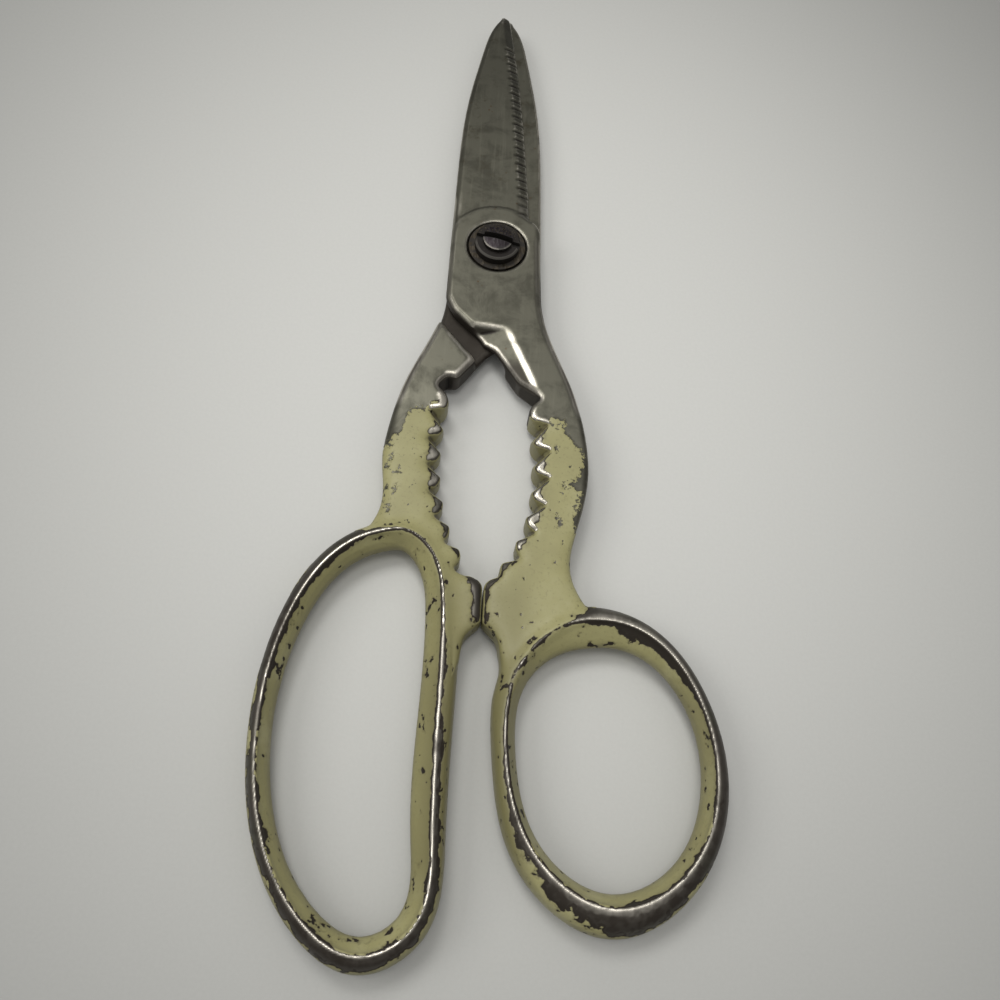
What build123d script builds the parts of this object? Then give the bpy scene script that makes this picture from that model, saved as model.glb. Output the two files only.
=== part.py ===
# Kitchen shears with nutcracker jaws: two forged halves on one slotted pivot screw.
# Units are millimetres. The pivot axis is X = 0, Y = 0 and the table is Z = 0.
# +Y runs to the blade tips, +X to the thumb bow, +Z out of the front face.
from build123d import *
from math import cos, hypot, radians, sin, tan
import os

os.makedirs("parts", exist_ok=True)

# Blades, from the pivot axis to the tips
blade_length = 68.8
tip_offset = 0.4
tip_radius = 1.2
tip_thickness = 1.6
spine_chamfer_width = 1.1
spine_chamfer_depth = 0.5
edge_bevel_width = 2.0
edge_bevel_depth = 1.05

# Serrated edge of the thumb half
groove_pitch = 2.32
groove_radius = 0.55
groove_depth = 0.3
groove_margin = 2.0
groove_count = 22

# Boss round the pivot, and the lap joint
boss_width = 19.3
boss_radius = 10.3
layer_thickness = 3.2
lap_gap = 0.1
ground_step = 0.25
lap_length = 24.8
shoulder_distance = 20.4
shoulder_angle = 41.0
facet_length = 20.0
facet_angle = 20.0
facet_end_angle = 58.0

# Shanks and nutcracker jaws
shank_reach = 19.7
shank_length = 49.0
shank_edge_radius = 1.2
jaw_edge_chamfer = 0.45
thumb_jaw_start = 38.5
finger_jaw_start = 37.3
tooth_count = 7
tooth_radius = 2.9
thumb_tooth_pitch = 5.7
finger_tooth_pitch = 5.45
notch_depth = 1.0
notch_fade = 0.2
notch_angle = 13.0
notch_half_angle = 32.0
notch_run_out = 3.4
jaw_half_width = 10.7
stop_x = 0.5
stop_y = 75.1
stop_length = 6.1
stop_nose = 3.0
stop_gap = 0.25
crotch_depth = 8.0

# Bows, measured along the crest of their rims
bow_thickness = 8.6
crest_land = 0.7
finger_bow_x = 20.9
finger_bow_y = 100.6
finger_bow_width = 29.8
finger_bow_length = 70.4
finger_limb_width = 6.2
thumb_bow_x = 23.5
thumb_bow_y = 103.75
thumb_bow_width = 35.8
thumb_bow_length = 47.5
thumb_limb_width = 6.6

# Pivot screw, washer and nut
head_diameter = 9.4
head_rim_height = 1.9
head_height = 3.3
crown_diameter = 6.2
crown_wall = 0.95
slot_width = 1.3
slot_depth = 2.4
slot_angle = -12.0
rim_chamfer = 0.3
shoulder_diameter = 6.4
thread_diameter = 5.0
thread_chamfer = 0.4
running_gap = 0.05
recess_diameter = 12.4
recess_depth = 0.8
recess_chamfer = 0.25
washer_diameter = 11.8
washer_thickness = 0.65
nut_across_flats = 9.5
nut_chamfer = 0.35

# One overrun for every cut
overrun = 1.5

# Sizes that follow from the ones above
mid_height = bow_thickness / 2
lap_face = lap_gap / 2
half_thickness = lap_face + layer_thickness
half_boss = boss_width / 2
ground_height = half_thickness - ground_step
recess_floor = half_thickness - recess_depth

# Outlines in shares of the sizes named beside them
# Spine and cutting edge: half the boss width, blade length
spine_shares = [
    (-1.0, 0.0),
    (-0.955, 0.29),
    (-0.83, 0.58),
    (-0.565, 0.807),
    (-0.47, 0.875),
    (-0.345, 0.935),
]
edge_shares = [(0.22, 0.85), (0.38, 0.67), (0.585, 0.342)]
# Lower edge of the lap, from the shank to the spine: half the boss width, lap length
lap_edge_shares = [(0.06, -1.0), (-0.19, -0.944), (-0.27, -0.887), (-0.86, -0.661), (-1.02, -0.53)]
# Outer edge of a shank, from the boss down: shank reach, shank length
shank_shares = [(0.49, -0.22), (0.575, -0.408), (0.822, -0.653), (0.975, -0.898), (1.0, -1.02)]
# Line under the teeth, from the stop up: half the jaw width, height of the first tooth over the stop
jaw_shares = [(0.50, 0.085), (0.97, 0.38), (1.094, 0.70), (1.0, 1.0)]
# Cap lifter, from the first tooth to the inner edge: half the jaw width, distance of the first tooth
thumb_hook_shares = [(0.923, -0.914), (0.512, -0.834)]
finger_hook_shares = [(0.923, -0.898), (0.784, -0.858), (0.60, -0.874)]
# Round of the stop pad, from its top to the teeth, in sizes of the nose
nose_shares = [(0.0, 0.0), (0.14, 0.42), (0.58, 0.72), (1.15, 0.78)]
# From the bottom of the stop pad to the bow, in depths of the crotch
crotch_shares = [(0.0, 0.0), (0.18, -0.18), (0.33, -0.34), (0.40, -0.58), (0.44, -0.95)]
# Worn facet beside the lap: its corners across and along, in lengths of the facet
facet_shares = [(-0.20, -0.98), (0.14, -1.01), (0.49, -1.76), (0.27, -1.76), (-0.20, -1.40)]
# Where the cutting edge meets the round boss, and where the side of the boss starts, in degrees
heel_angle = 47.5
boss_side_angle = 28.0

# Rims of the bows, clockwise from the top. Crest across and along: half the bow's width and
# length. Then the rim outside and inside its crest: limb width.
finger_rim_shares = [
    (-0.33, 1.00, 0.40, 0.39),
    (0.29, 0.88, 0.40, 0.38),
    (0.805, 0.52, 0.355, 0.355),
    (1.00, 0.01, 0.32, 0.31),
    (0.845, -0.47, 0.33, 0.34),
    (0.335, -0.85, 0.385, 0.385),
    (-0.33, -1.00, 0.45, 0.45),
    (-0.845, -0.885, 0.40, 0.465),
    (-1.00, -0.495, 0.39, 0.55),
    (-0.98, 0.075, 0.47, 0.53),
    (-0.96, 0.615, 0.48, 0.48),
    (-0.765, 0.90, 0.45, 0.45),
]
thumb_rim_shares = [
    (-0.095, 1.00, 0.485, 0.62),
    (0.46, 0.86, 0.365, 0.47),
    (0.90, 0.36, 0.365, 0.25),
    (1.00, -0.135, 0.425, 0.27),
    (0.735, -0.71, 0.50, 0.30),
    (0.015, -1.00, 0.68, 0.35),
    (-0.705, -0.68, 0.515, 0.29),
    (-1.00, -0.01, 0.335, 0.29),
    (-0.915, 0.565, 0.455, 0.335),
    (-0.60, 0.87, 0.425, 0.515),
]
# Where a shank's outer edge runs into its bow: from a crest point, in limb widths
finger_root_shares = [(-0.97, 1.50), (-0.72, 0.88), (0.0, 0.0)]
thumb_root_shares = [(-0.59, 2.85), (-0.82, 1.36), (-0.52, 0.62), (0.0, 0.0)]
# Section of a rim: height in half thicknesses, swell in widths beside the crest
outer_swell_shares = [(-1.0, 0.0), (-0.62, 0.78), (0.0, 1.0), (0.62, 0.78), (1.0, 0.0)]
inner_swell_shares = [(-1.0, 0.0), (-0.50, 0.60), (0.0, 1.0), (0.50, 0.60), (1.0, 0.0)]

# Both halves are drawn on planes in the lap joint, each with its own front face up, its spine
# on the left and its shank on the right
thumb_plane = Plane(origin=(0, 0, mid_height), x_dir=(1, 0, 0), z_dir=(0, 0, 1))
finger_plane = Plane(origin=(0, 0, mid_height), x_dir=(-1, 0, 0), z_dir=(0, 0, -1))


def spots(shares, width, length, start=(0, 0)):
    """Points of an outline from its shares of a width and a length."""
    return [(start[0] + across * width, start[1] + along * length) for across, along in shares]


def on_boss(angle):
    """A point on the round of the boss, at an angle from +X."""
    return (boss_radius * cos(radians(angle)), boss_radius * sin(radians(angle)))


def crest_spots(shares, centre_x, centre_y, width, length):
    """Points on the crest of a bow."""
    return [(centre_x + row[0] * width / 2, -centre_y + row[1] * length / 2) for row in shares]


def beside(line, offsets):
    """Points moved off a closed clockwise line of points, outward by an offset for each."""
    moved = []
    for index, (x, y) in enumerate(line):
        before = line[index - 1]
        after = line[(index + 1) % len(line)]
        run_x = after[0] - before[0]
        run_y = after[1] - before[1]
        run = hypot(run_x, run_y)
        moved.append((x - offsets[index] * run_y / run, y + offsets[index] * run_x / run))
    return moved


def rim_body(plane, crest, widths, swell_shares, side):
    """The body inside one side of a rim: side is 1 for its outside and -1 for its hole."""
    land = crest_land / 2
    sections = []
    for height, swell in swell_shares:
        offsets = [side * (land + (width - land) * swell) for width in widths]
        with BuildSketch(plane.offset(height * bow_thickness / 2)) as section:
            with BuildLine():
                Spline(*beside(crest, offsets), periodic=True)
            make_face()
        sections.append(section.sketch)
    with BuildPart() as body:
        loft(sections)
    return body.part


def edge_line():
    """The cutting edge, from the round of the tip to the heel."""
    start = (tip_radius - tip_offset, blade_length - tip_radius)
    return Spline(start, *spots(edge_shares, half_boss, blade_length), on_boss(heel_angle))


def spine_line():
    """The spine, from the boss to the round of the tip."""
    end = (-tip_radius - tip_offset, blade_length - tip_radius)
    return Spline(*spots(spine_shares, half_boss, blade_length), end)


def jaw_line(jaw_start, stop_face):
    """The line that the teeth stand on, from the stop up to the first tooth."""
    points = []
    for across, along in jaw_shares:
        x = across * jaw_half_width + (1 - along) * stop_face
        points.append((x, along * (stop_y - jaw_start) - stop_y))
    return Spline(*points)


def beside_lines(part, plane, lines):
    """Edges on the outer faces of a plate that follow one of the drawn lines."""

    def chosen(edge):
        middle = plane.to_local_coords(edge @ 0.5)
        on_face = abs(abs(middle.Z) - half_thickness) < lap_gap
        flat = Vector(middle.X, middle.Y, 0)
        return on_face and any(line.distance_to(flat) < lap_gap for line in lines)

    return part.edges().filter_by(chosen)


def tooth(plane, seat):
    """One nutcracker tooth: a round post across the shank, with both ends chamfered."""
    with BuildPart() as post:
        with BuildSketch(plane.offset(-half_thickness)):
            with Locations(seat):
                Circle(tooth_radius)
        extrude(amount=2 * half_thickness)
        chamfer(post.edges().filter_by(GeomType.CIRCLE), jaw_edge_chamfer)
    return post.part


def notch(plane, jaw, share, depth):
    """The slanting V between two teeth: deep at the front of the shears, shallow at their back."""
    run = jaw % share
    turn = radians(notch_angle)
    across_x = run.Y * cos(turn) + run.X * sin(turn)
    across_y = run.Y * sin(turn) - run.X * cos(turn)
    across = plane.x_dir * across_x + plane.y_dir * across_y
    corner = plane.from_local_coords(jaw @ share) + across * depth
    front = Plane(origin=corner, x_dir=across, z_dir=(0, 0, 1)).offset(half_thickness)
    reach = depth + tooth_radius + overrun
    half_mouth = reach * tan(radians(notch_half_angle))
    with BuildSketch() as mouth:
        with BuildLine():
            Polyline((0, 0), (-reach, half_mouth), (-reach, -half_mouth), close=True)
        make_face()
    return oblique(front, mouth.sketch, -notch_run_out, 2 * half_thickness)


def shank_plate(plane, jaw_start, stop_face, hook_shares, tooth_pitch, root, limb):
    """Blade, boss, shank, jaw and stop as one plate with softened edges, before grinding."""
    lap_edge = spots(lap_edge_shares, half_boss, lap_length)
    shank_points = spots(shank_shares, shank_reach, shank_length)
    hook_points = spots(hook_shares, jaw_half_width, jaw_start)
    nose_points = spots(nose_shares, stop_nose, stop_nose, (stop_face, -stop_y))
    stop_end = (stop_face, -stop_y - stop_length)
    crotch_points = spots(crotch_shares, crotch_depth, crotch_depth, stop_end)
    with BuildSketch() as plan:
        with BuildLine():
            spine = spine_line()
            edge = edge_line()
            ThreePointArc(spine @ 1, (-tip_offset, blade_length), edge @ 0)
            heel = on_boss((heel_angle + boss_side_angle) / 2)
            ThreePointArc(edge @ 1, heel, on_boss(boss_side_angle))
            Line(on_boss(boss_side_angle), shank_points[0])
            shank = Spline(*shank_points, *root)
            Polyline(root[-1], *limb, crotch_points[-1])
            Spline(*crotch_points)
            Line(stop_end, nose_points[0])
            Spline(*nose_points)
            jaw = jaw_line(jaw_start, stop_face)
            Line(nose_points[-1], jaw @ 0)
            Polyline(jaw @ 1, *hook_points)
            inner = Line(hook_points[-1], lap_edge[0])
            Polyline(*lap_edge, spine @ 0)
        make_face()
    with BuildPart() as plate:
        extrude(plane * plan.sketch, amount=half_thickness, both=True)
        fillet(beside_lines(plate, plane, [shank]), shank_edge_radius)
        chamfer(beside_lines(plate, plane, [inner]), jaw_edge_chamfer)
        for index in range(tooth_count):
            add(tooth(plane, jaw @ (1 - index * tooth_pitch / jaw.length)))
        for index in range(tooth_count - 1):
            share = 1 - (index + 0.5) * tooth_pitch / jaw.length
            add(notch(plane, jaw, share, notch_depth - index * notch_fade), mode=Mode.SUBTRACT)
    return plate.part


def oblique(plane, sketch, across, down):
    """A cutter with a sloping side: a sketch pushed along a slope, both up and down."""
    slope = plane.x_dir * across - plane.z_dir * down
    with BuildPart() as cutter:
        extrude(plane * sketch, amount=slope.length + overrun, dir=slope, both=True)
    return cutter.part


def ground_plane(plane):
    """The plane of the ground blade face, falling from the boss to the tip."""
    fall = ground_height - lap_face - tip_thickness
    run = blade_length - boss_radius
    along = plane.y_dir * run - plane.z_dir * fall
    start = plane.origin + plane.y_dir * boss_radius + plane.z_dir * ground_height
    return Plane(origin=start, x_dir=plane.x_dir, z_dir=plane.x_dir.cross(along))


def blade_grinding(plane):
    """What grinding takes off a blade: its face, the corner of its spine and its edge bevel."""
    face = ground_plane(plane)
    past_tip = blade_length + overrun
    with BuildSketch() as spine_side:
        with BuildLine():
            spine = spine_line()
            side = [(-tip_offset, past_tip), (-boss_width, past_tip), (-boss_width, 0)]
            Polyline(spine @ 1, *side, spine @ 0)
        make_face()
    with BuildSketch() as edge_side:
        with BuildLine():
            edge = edge_line()
            side = [(boss_width, 0), (boss_width, past_tip), (-tip_offset, past_tip)]
            Polyline(edge @ 1, *side, edge @ 0)
        make_face()
    start = face.origin - face.y_dir * boss_radius
    on_face = Plane(origin=start, x_dir=face.x_dir, z_dir=face.z_dir)
    with BuildPart() as ground:
        with BuildSketch(face):
            Rectangle(2 * boss_width, 2 * blade_length)
        extrude(amount=layer_thickness)
        spine_foot = on_face.offset(-spine_chamfer_depth)
        add(oblique(spine_foot, spine_side.sketch, -spine_chamfer_width, spine_chamfer_depth))
        edge_foot = on_face.offset(-edge_bevel_depth)
        add(oblique(edge_foot, edge_side.sketch, edge_bevel_width, edge_bevel_depth))
        with BuildSketch(plane.offset(-layer_thickness)):
            Circle(boss_radius)
            with Locations((0, -blade_length)):
                Rectangle(4 * boss_width, 2 * blade_length)
        extrude(amount=3 * layer_thickness, mode=Mode.SUBTRACT)
    return ground.part


def lap_recess(plane):
    """The half of the thickness that the other blade needs, above the shoulder."""
    turn = radians(shoulder_angle)
    across = plane.x_dir * cos(turn) - plane.y_dir * sin(turn)
    start = plane.origin + across * (shoulder_distance - blade_length) + plane.z_dir * lap_face
    with BuildPart() as recess:
        with BuildSketch(Plane(origin=start, x_dir=across, z_dir=plane.z_dir)):
            Rectangle(2 * blade_length, 4 * blade_length)
        extrude(amount=-2 * half_thickness)
    return recess.part


def slope_down(plane, start, end, angle):
    """The plane through a line on the front face that slopes down on the right of the line."""
    run_x = end[0] - start[0]
    run_y = end[1] - start[1]
    along = plane.x_dir * run_x + plane.y_dir * run_y
    aside = (plane.x_dir * run_y - plane.y_dir * run_x).normalized()
    corner = plane.origin + plane.x_dir * start[0] + plane.y_dir * start[1]
    normal = aside * sin(radians(angle)) + plane.z_dir * cos(radians(angle))
    return Plane(origin=corner + plane.z_dir * half_thickness, x_dir=along, z_dir=normal)


def worn_facet(plane):
    """The sloping facet at the shank's inner edge, just below the lap."""
    corners = spots(facet_shares, facet_length, facet_length)
    with BuildPart() as facet:
        with BuildSketch(plane):
            with BuildLine():
                Polyline(*corners, close=True)
            make_face()
        extrude(amount=half_thickness + overrun)
        split(bisect_by=slope_down(plane, corners[0], corners[1], facet_end_angle), keep=Keep.TOP)
        split(bisect_by=slope_down(plane, corners[1], corners[2], facet_angle), keep=Keep.TOP)
    return facet.part


def shears_half(
    plane,
    jaw_start,
    stop_face,
    hook_shares,
    tooth_pitch,
    rim_shares,
    crest,
    limb_width,
    root,
    limb,
    bore,
):
    """One forged half: plate, bow, lap, ground blade, pivot bore and screw recess."""
    outside = [row[2] * limb_width for row in rim_shares]
    inside = [row[3] * limb_width for row in rim_shares]
    plate = shank_plate(plane, jaw_start, stop_face, hook_shares, tooth_pitch, root, limb)
    bow = rim_body(plane, crest, outside, outer_swell_shares, 1)
    hole = rim_body(plane, crest, inside, inner_swell_shares, -1)
    with BuildPart() as half:
        add(plate)
        add(lap_recess(plane), mode=Mode.SUBTRACT)
        add(worn_facet(plane), mode=Mode.SUBTRACT)
        add(blade_grinding(plane), mode=Mode.SUBTRACT)
        add(bow)
        add(hole, mode=Mode.SUBTRACT)
        with BuildSketch(plane.offset(-half_thickness)):
            Circle(bore / 2)
        extrude(amount=2 * half_thickness, mode=Mode.SUBTRACT)
        with BuildSketch(plane.offset(recess_floor)):
            Circle(recess_diameter / 2)
        extrude(amount=layer_thickness, mode=Mode.SUBTRACT)
        with BuildSketch(plane.offset(half_thickness)):
            Circle(recess_diameter / 2 + recess_chamfer)
        extrude(amount=-recess_chamfer, taper=45, mode=Mode.SUBTRACT)
    return half.part


def serration_planes(plane):
    """Planes across the cutting edge, one for each groove, looking up its bevel."""
    face = ground_plane(plane)
    foot = Plane(
        origin=face.origin - face.y_dir * boss_radius - face.z_dir * edge_bevel_depth,
        x_dir=face.x_dir,
        z_dir=face.z_dir,
    )
    with BuildLine():
        edge = edge_line()
    rise = edge_bevel_depth / edge_bevel_width
    lift = groove_radius - groove_depth
    planes = []
    for index in range(groove_count):
        share = 1 - (groove_margin + index * groove_pitch) / edge.length
        spot = edge @ share
        run = edge % share
        outward = foot.x_dir * -run.Y + foot.y_dir * run.X
        uphill = (foot.z_dir * rise - outward).normalized()
        normal = (outward * rise + foot.z_dir).normalized()
        start = foot.from_local_coords(spot) + normal * lift - uphill * overrun
        planes.append(Plane(origin=start, z_dir=uphill))
    return planes


finger_crest = crest_spots(
    finger_rim_shares, finger_bow_x, finger_bow_y, finger_bow_width, finger_bow_length
)
finger_blank = shears_half(
    finger_plane,
    finger_jaw_start,
    stop_gap / 2 - stop_x,
    finger_hook_shares,
    finger_tooth_pitch,
    finger_rim_shares,
    finger_crest,
    finger_limb_width,
    spots(finger_root_shares, finger_limb_width, finger_limb_width, finger_crest[1]),
    [(finger_bow_x, -finger_bow_y), finger_crest[9]],
    thread_diameter + 2 * running_gap,
)
thumb_crest = crest_spots(
    thumb_rim_shares, thumb_bow_x, thumb_bow_y, thumb_bow_width, thumb_bow_length
)
thumb_blank = shears_half(
    thumb_plane,
    thumb_jaw_start,
    stop_gap / 2 + stop_x,
    thumb_hook_shares,
    thumb_tooth_pitch,
    thumb_rim_shares,
    thumb_crest,
    thumb_limb_width,
    spots(thumb_root_shares, thumb_limb_width, thumb_limb_width, thumb_crest[0]),
    [(thumb_bow_x, -thumb_bow_y), thumb_crest[7]],
    shoulder_diameter + 2 * running_gap,
)

with BuildPart() as finger_half:
    add(finger_blank)
finger_half.part.label = "finger_half"
export_step(finger_half.part, "parts/finger_half.step")

with BuildPart() as thumb_half:
    add(thumb_blank)
    with BuildSketch(*serration_planes(thumb_plane)):
        Circle(groove_radius)
    extrude(amount=edge_bevel_width + 2 * overrun, mode=Mode.SUBTRACT)
thumb_half.part.label = "thumb_half"
export_step(thumb_half.part, "parts/thumb_half.step")

screw_seat = mid_height - lap_face
head_seat = mid_height + recess_floor + lap_face + washer_thickness
washer_seat = head_seat - washer_thickness
nut_height = mid_height - recess_floor

with BuildPart() as pivot_screw:
    with BuildSketch(Plane.XZ):
        with BuildLine():
            head = head_diameter / 2
            rim_top = head_seat + head_rim_height
            crown = crown_diameter / 2
            crown_edge = rim_top + crown_wall
            top = head_seat + head_height
            Polyline(
                (0, 0),
                (thread_diameter / 2 - thread_chamfer, 0),
                (thread_diameter / 2, thread_chamfer),
                (thread_diameter / 2, screw_seat),
                (shoulder_diameter / 2, screw_seat),
                (shoulder_diameter / 2, head_seat),
                (head, head_seat),
                (head, rim_top - rim_chamfer),
                (head - rim_chamfer, rim_top),
                (crown, rim_top),
                (crown, crown_edge),
            )
            ThreePointArc((crown, crown_edge), (crown / 2, (crown_edge + 3 * top) / 4), (0, top))
            Line((0, top), (0, 0))
        make_face()
    revolve(axis=Axis.Z)
    with BuildSketch(Plane.XY.offset(top)):
        Rectangle(head_diameter + overrun, slot_width, rotation=slot_angle)
    extrude(amount=-slot_depth, mode=Mode.SUBTRACT)
pivot_screw.part.label = "pivot_screw"
export_step(pivot_screw.part, "parts/pivot_screw.step")

with BuildPart() as pivot_washer:
    with BuildSketch(Plane.XY.offset(washer_seat)):
        Circle(washer_diameter / 2)
        Circle(shoulder_diameter / 2 + running_gap, mode=Mode.SUBTRACT)
    extrude(amount=washer_thickness)
pivot_washer.part.label = "pivot_washer"
export_step(pivot_washer.part, "parts/pivot_washer.step")

with BuildPart() as pivot_nut:
    with BuildSketch():
        RegularPolygon(nut_across_flats / 2, 6, major_radius=False)
        Circle(thread_diameter / 2 + running_gap, mode=Mode.SUBTRACT)
    extrude(amount=nut_height)
    chamfer(pivot_nut.faces().sort_by(Axis.Z)[0].outer_wire().edges(), nut_chamfer)
pivot_nut.part.label = "pivot_nut"
export_step(pivot_nut.part, "parts/pivot_nut.step")
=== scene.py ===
"""Kitchen shears: worn enamel, bare steel and a slotted pivot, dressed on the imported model."""

import math

import bmesh
import bpy
import numpy as np
from bpy.props import FloatProperty, FloatVectorProperty, PointerProperty
from mathutils import Matrix, Vector, noise


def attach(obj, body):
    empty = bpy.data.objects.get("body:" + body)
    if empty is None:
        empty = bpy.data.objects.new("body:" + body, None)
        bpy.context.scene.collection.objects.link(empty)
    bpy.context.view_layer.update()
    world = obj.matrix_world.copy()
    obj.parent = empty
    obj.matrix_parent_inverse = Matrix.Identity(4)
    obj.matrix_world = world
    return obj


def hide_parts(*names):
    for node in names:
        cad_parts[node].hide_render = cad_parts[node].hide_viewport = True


bl_info = {
    "name": "Kitchen Shears",
    "version": (1, 0, 0),
    "blender": (4, 5, 0),
    "location": "View3D > Sidebar > Shears",
    "description": "Builds a worn pair of enamelled kitchen shears round its packed model",
    "category": "Add Mesh",
}

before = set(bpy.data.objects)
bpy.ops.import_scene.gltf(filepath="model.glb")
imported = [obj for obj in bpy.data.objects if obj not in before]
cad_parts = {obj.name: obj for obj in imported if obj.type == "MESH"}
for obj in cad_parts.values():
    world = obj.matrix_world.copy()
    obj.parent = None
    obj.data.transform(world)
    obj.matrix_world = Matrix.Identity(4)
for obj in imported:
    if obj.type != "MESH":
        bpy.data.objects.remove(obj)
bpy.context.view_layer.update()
MM = 0.001

# Height of the plane where the halves meet and thickness of the bows, in mm.
MIDDLE = 4.3
THICKNESS = 8.6

# Places along the shears, in mm from the pivot: where a change starts and where it is full.
JAW_FOOT = (-84, -80)
JAW_HEAD = (-33, -36)
TEETH_FOOT = (-72, -69)
DULL_TEETH = (-56, -62)
FIRST_NOTCH = (-39, -41)
LAST_NOTCH = (-70, -66)
LAST_BRIGHT_EDGE = (-69, -66)
BOSS_FOOT = (-40, -36)
BOSS_HEAD = (14, 11)
BOSS_CORNER = (1, 4)
LAP_RIDGE = (-19, -22)
LAP_SHINE = (-16, -24)
LAP_FOOT = (-42, -38)
BELOW_PIVOT = (-6, -9)
CREVICE_FOOT = (-45, -40)
FACET_HEAD = (-26, -29)
BLADE_SIDES = (6, 12)
BOWS_HEAD = (-62, -66)
STOP_PADS = (-71, -73)
ENAMEL_HEAD = (-34, -40)

# The same, for what only the finishes tell apart.
STEMS_HEAD = (-68, -78)
STEMS_FOOT = (-135, -120)
STEMS_DARKER = (-85, -97)
BLUED_STEEL = (-52, -85)
STAINED_BLADE = (0, 20)
BRUSHED_BLADE = (8, 12)
BLADE_TIP_SHADE = (12, 66)

# Across the shears, back from the teeth and up from the table, in mm, in the same way.
STEMS_REACH = (12, 6)
RECESS_REACH = (6.7, 7.3)
CORNER_REACH = (6.5, 7.5)
LAP_REACH = (9.5, 8.5)
CREVICE_REACH = (10.6, 10.0)
TEETH_BACK = (7, 5)
BRIGHT_EDGE_BACK = (5.4, 4.6)
AGED_BACK = (4, 3)
OUTLINE_BACK = (3, 2)
LAP_HEIGHT = (5.6, 4.9)
FACET_HEIGHT = (7.5, 7.3)

# Angle of the crest over a bow's rim, and how far round the bow its root fades out, in degrees.
CREST = 91
ROOT_FADE = 8

# Width of the patches that the wear follows, in mm.
RAGGED = 1.7
BROAD = 6.0
SPOTTED = 1.15

# How far each round of softening moves a point towards its neighbours' middle, and how many
# rounds the sharp edges, the teeth, the boss's ridges, a bow's root and an inward corner get.
SOFTENING = 0.6
EDGE_ROUNDS = 3
TEETH_ROUNDS = 4
RIDGE_ROUNDS = 34
ROOT_ROUNDS = 70
CORNER_ROUNDS = 60

# Length of one degree of turn on a bow's rim, and how far below the bow's top the depth of its
# bare band is measured from, in mm.
RIM_DEGREE = 0.035
CREST_DROP = 0.22

# How many patches or strokes of each texture lie along a metre.
CHIPS = 1500
PATCHES = 95
SPECKLES = 1900
CAUGHT_DIRT = 420
STREAKS = 1100
STAINS = 150
SPOTS = 260
BLUEING = 120
RUST_PITS = 700
RUST_PATCHES = 140
PIVOT_BRUSHING = 2600
PIVOT_DIRT = 650
OCHRE_SPECKS = 2300
TABLE_MOTTLE = 1500

# Colours that the finishes mix in beside those that the panel sets.
CREAM_SHADE = (0.25, 0.23, 0.11)
CREAM_CHALK = (0.37, 0.35, 0.195)
CREAM_SPECKLE = (0.21, 0.19, 0.09)
CREAM_DIRT = (0.085, 0.072, 0.038)
CREAM_LIP = (0.14, 0.125, 0.06)
STEEL_STAIN = (0.062, 0.055, 0.038)
STEEL_BLUE = (0.115, 0.100, 0.092)
STEEL_RUST = (0.075, 0.045, 0.022)
STEEL_HOLLOW = (0.014, 0.011, 0.008)
# A painted highlight for the screw's near rims:
SCREW_RIM_HIGHLIGHT = (0.17, 0.16, 0.14)
SCREW_OCHRE = (0.11, 0.09, 0.05)
# Painted shade for the inside of the screw's slot:
SCREW_SLOT_SHADE = (0.006, 0.005, 0.004)

# The screw: the way across its slot, seen from the front, then half widths and heights in mm.
SLOT_TURN = math.radians(12)
SLOT_ACROSS = (math.sin(SLOT_TURN), math.cos(SLOT_TURN))
SLOT_SIDE = (0.80, 0.66)
SLOT_FLOOR = (8.0, 8.3)
CROWN_FOOT = (9.9, 10.2)
CROWN_EDGE = ((10.05, 10.15), (10.42, 10.32))
FLANGE_REACH = (4.15, 4.4)
FLANGE_TOP = (8.95, 9.15)
RIM_LIT = (0.5, -1.0)
OCHRE_SIDE = (0.4, 1.0)

# Base, worn and dirty colour of each piece of the pivot, and how dirty it is.
PIVOT_LOOKS = {
    # The screw's dirty colour is also its painted shade below the crown.
    "pivot_screw": ((0.024, 0.020, 0.022), (0.056, 0.050, 0.053), (0.014, 0.011, 0.009), 0.3),
    "pivot_washer": ((0.040, 0.033, 0.024), (0.085, 0.074, 0.058), (0.012, 0.009, 0.007), 0.8),
    "pivot_nut": ((0.17, 0.16, 0.135), (0.28, 0.265, 0.23), (0.03, 0.026, 0.02), 0.3),
}

# The camera's lens and sensor, its place in mm, and the ways that its right and its top point.
CAMERA_LENS = 36
CAMERA_SENSOR = 36
CAMERA_PLACE = (-8.94, -133.0, 177.1)
CAMERA_RIGHT = (0.99559, 0.03779, 0.08582)
CAMERA_TOP = (-0.06916, 0.91395, 0.39989)

# Place and width of each soft lamp in m, and its share of the lamp power.
LAMPS = {
    "window": ((-0.22, 0.32, 0.92), 0.32, 0.48),
    "side_window": ((-1.08, 0.0, 1.04), 0.7, 0.9),
    "ceiling": ((0.02, -0.10, 1.0), 0.3, 0.25),
}
LAMP_TARGET = (0, -0.04, 0)
DAYLIGHT = (1.0, 0.995, 0.975)
ROOM_TINT = (1.0, 0.995, 0.98)

# The table: half its side in m, then its top and its painted pool of light, which darkens away
# from its middle, in mm.
TABLE_HALF = 3.0
TABLE_TOP = -0.02
TABLE_LIGHT_POOL = (30, 250)
TABLE_POOL_CENTRE = (12, -50)
TABLE_POOL_EDGE = (20, 200)

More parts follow.
